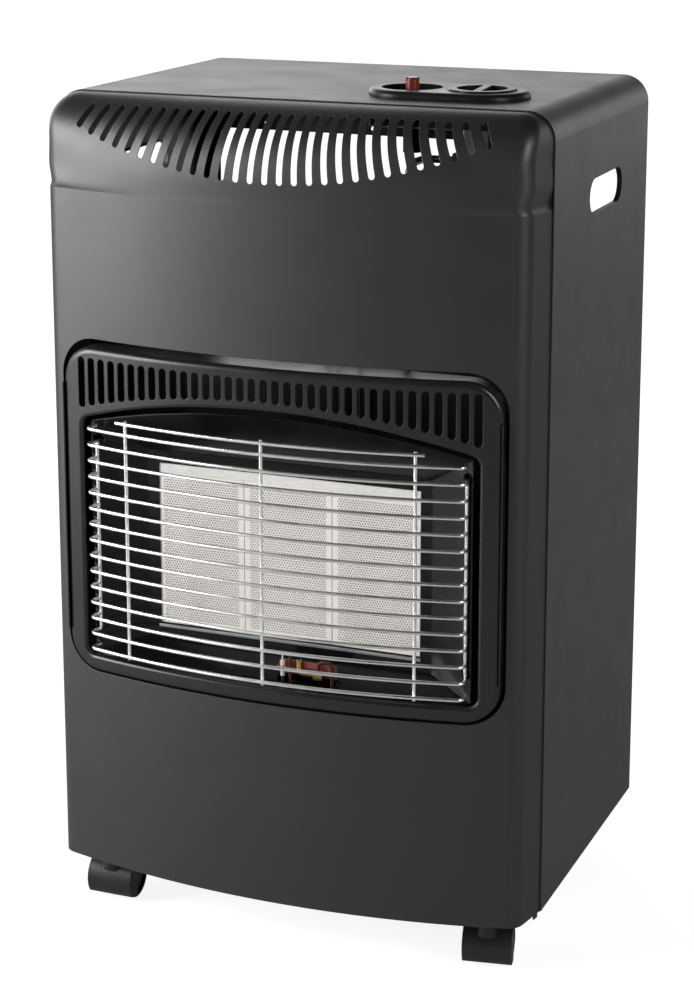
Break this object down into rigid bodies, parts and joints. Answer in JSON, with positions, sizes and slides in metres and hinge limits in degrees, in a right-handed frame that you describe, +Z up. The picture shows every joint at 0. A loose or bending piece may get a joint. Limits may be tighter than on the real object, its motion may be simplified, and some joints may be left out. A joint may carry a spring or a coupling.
{
  "type": "portable gas cabinet heater",
  "caption": "Free-standing gas cabinet heater on casters with a bowed louvred front, wire-guarded ceramic burner, top controls and a rear bottle space.",
  "frame": {"origin": "on the floor, centred in width, midway between the foremost guard wire and the casing's rear edge", "axes": "+Z up, -Y the bowed front with the burner, +X the cabinet's right seen from the front"},
  "size_m": [0.436, 0.3625, 0.737],
  "materials": {
    "charcoal_enamel": "satin, fine textured powder coat",
    "black_enamel": "gloss",
    "ceramic": "matt ceramic",
    "seal_fibre": "matt fibre",
    "zinc_steel": "zinc plated",
    "chromed_wire": "bright",
    "brass": "satin",
    "copper": "satin",
    "white_ceramic": "glazed",
    "lead_sleeve": "satin",
    "black_plastic": "satin",
    "red_brown_plastic": "satin",
    "caster_plastic": "satin",
    "tyre_plastic": "satin"
  },
  "bodies": {
    "cabinet": {"base_plate": "black_enamel", "burner_box": "zinc_steel", "burner_brackets": "zinc_steel", "burner_stays": "zinc_steel", "burner_surround": "black_enamel", "casing": "charcoal_enamel", "caster_plate_front_left": "zinc_steel", "caster_plate_front_right": "zinc_steel", "caster_plate_rear_left": "zinc_steel", "caster_plate_rear_right": "zinc_steel", "caster_rivets": "zinc_steel", "ceramic_plaques": "ceramic", "control_bezel": "black_plastic", "control_bracket": "zinc_steel", "cover_stops": "charcoal_enamel", "front_panel": "charcoal_enamel", "gas_manifold": "zinc_steel", "gas_pipe": "zinc_steel", "gas_valve": "zinc_steel", "heat_shield": "zinc_steel", "hinge_lugs": "black_enamel", "hinge_pins": "zinc_steel", "hose_tail": "brass", "ignition_lead": "lead_sleeve", "injectors": "brass", "manifold_straps": "zinc_steel", "piezo_igniter": "black_plastic", "pilot_bracket": "copper", "pilot_burner": "brass", "pilot_electrode": "white_ceramic", "pilot_tube": "copper", "plaque_ledge": "zinc_steel", "plaque_seal": "seal_fibre", "reflector_hood": "black_enamel", "thermocouple": "copper", "valve_outlet_nut": "brass", "venturi_tubes": "zinc_steel", "wire_guard": "chromed_wire"},
    "swivel_front_left": {"caster_hood_front_left": "caster_plastic", "caster_axle_front_left": "zinc_steel"},
    "wheel_front_left_left": {"caster_wheel_front_left_left": "tyre_plastic"},
    "wheel_front_left_right": {"caster_wheel_front_left_right": "tyre_plastic"},
    "swivel_front_right": {"caster_hood_front_right": "caster_plastic", "caster_axle_front_right": "zinc_steel"},
    "wheel_front_right_left": {"caster_wheel_front_right_left": "tyre_plastic"},
    "wheel_front_right_right": {"caster_wheel_front_right_right": "tyre_plastic"},
    "swivel_rear_left": {"caster_hood_rear_left": "caster_plastic", "caster_axle_rear_left": "zinc_steel"},
    "wheel_rear_left_left": {"caster_wheel_rear_left_left": "tyre_plastic"},
    "wheel_rear_left_right": {"caster_wheel_rear_left_right": "tyre_plastic"},
    "swivel_rear_right": {"caster_hood_rear_right": "caster_plastic", "caster_axle_rear_right": "zinc_steel"},
    "wheel_rear_right_left": {"caster_wheel_rear_right_left": "tyre_plastic"},
    "wheel_rear_right_right": {"caster_wheel_rear_right_right": "tyre_plastic"},
    "rear_cover": {"rear_cover": "charcoal_enamel"},
    "igniter_button": {"igniter_button": "red_brown_plastic"},
    "valve_plunger": {"valve_plunger": "brass"},
    "gas_knob": {"control_knob": "black_plastic", "valve_spindle": "zinc_steel"}
  },
  "joints": [
    {"name": "igniter_press", "type": "slide", "parent": "cabinet", "child": "igniter_button", "axis": [0, 0, -1], "range_m": [0, 0.004], "stiffness_N_per_m": 500, "springref_m": -0.002},
    {"name": "knob_press", "type": "slide", "parent": "cabinet", "child": "valve_plunger", "axis": [0, 0, -1], "range_m": [0, 0.003], "stiffness_N_per_m": 1200, "springref_m": -0.002},
    {"name": "knob_turn", "type": "hinge", "parent": "valve_plunger", "child": "gas_knob", "pos_m": [0.1338, -0.02785, 0.7], "axis": [0, 0, 1], "range_deg": [0, 210]},
    {"name": "rear_cover_hinge", "type": "hinge", "parent": "cabinet", "child": "rear_cover", "pos_m": [0, 0.17775, 0.061], "axis": [-1, 0, 0], "range_deg": [0, 90]},
    {"name": "swivel_front_left", "type": "hinge", "parent": "cabinet", "child": "swivel_front_left", "pos_m": [-0.1765, -0.11245, 0.05], "axis": [0, 0, 1], "continuous": true},
    {"name": "roll_front_left_left", "type": "hinge", "parent": "swivel_front_left", "child": "wheel_front_left_left", "pos_m": [-0.1765, -0.10045, 0.0185], "axis": [1, 0, 0], "continuous": true},
    {"name": "roll_front_left_right", "type": "hinge", "parent": "swivel_front_left", "child": "wheel_front_left_right", "pos_m": [-0.1765, -0.10045, 0.0185], "axis": [1, 0, 0], "continuous": true},
    {"name": "swivel_front_right", "type": "hinge", "parent": "cabinet", "child": "swivel_front_right", "pos_m": [0.1765, -0.11245, 0.05], "axis": [0, 0, 1], "continuous": true},
    {"name": "roll_front_right_left", "type": "hinge", "parent": "swivel_front_right", "child": "wheel_front_right_left", "pos_m": [0.17442, -0.10063, 0.0185], "axis": [0.9848, 0.1736, 0], "continuous": true},
    {"name": "roll_front_right_right", "type": "hinge", "parent": "swivel_front_right", "child": "wheel_front_right_right", "pos_m": [0.17442, -0.10063, 0.0185], "axis": [0.9848, 0.1736, 0], "continuous": true},
    {"name": "swivel_rear_left", "type": "hinge", "parent": "cabinet", "child": "swivel_rear_left", "pos_m": [-0.16, 0.13325, 0.05], "axis": [0, 0, 1], "continuous": true},
    {"name": "roll_rear_left_left", "type": "hinge", "parent": "swivel_rear_left", "child": "wheel_rear_left_left", "pos_m": [-0.15916, 0.14522, 0.0185], "axis": [0.9976, -0.0698, 0], "continuous": true},
    {"name": "roll_rear_left_right", "type": "hinge", "parent": "swivel_rear_left", "child": "wheel_rear_left_right", "pos_m": [-0.15916, 0.14522, 0.0185], "axis": [0.9976, -0.0698, 0], "continuous": true},
    {"name": "swivel_rear_right", "type": "hinge", "parent": "cabinet", "child": "swivel_rear_right", "pos_m": [0.16, 0.13325, 0.05], "axis": [0, 0, 1], "continuous": true},
    {"name": "roll_rear_right_left", "type": "hinge", "parent": "swivel_rear_right", "child": "wheel_rear_right_left", "pos_m": [0.15875, 0.14518, 0.0185], "axis": [0.9945, 0.1045, 0], "continuous": true},
    {"name": "roll_rear_right_right", "type": "hinge", "parent": "swivel_rear_right", "child": "wheel_rear_right_right", "pos_m": [0.15875, 0.14518, 0.0185], "axis": [0.9945, 0.1045, 0], "continuous": true}
  ]
}
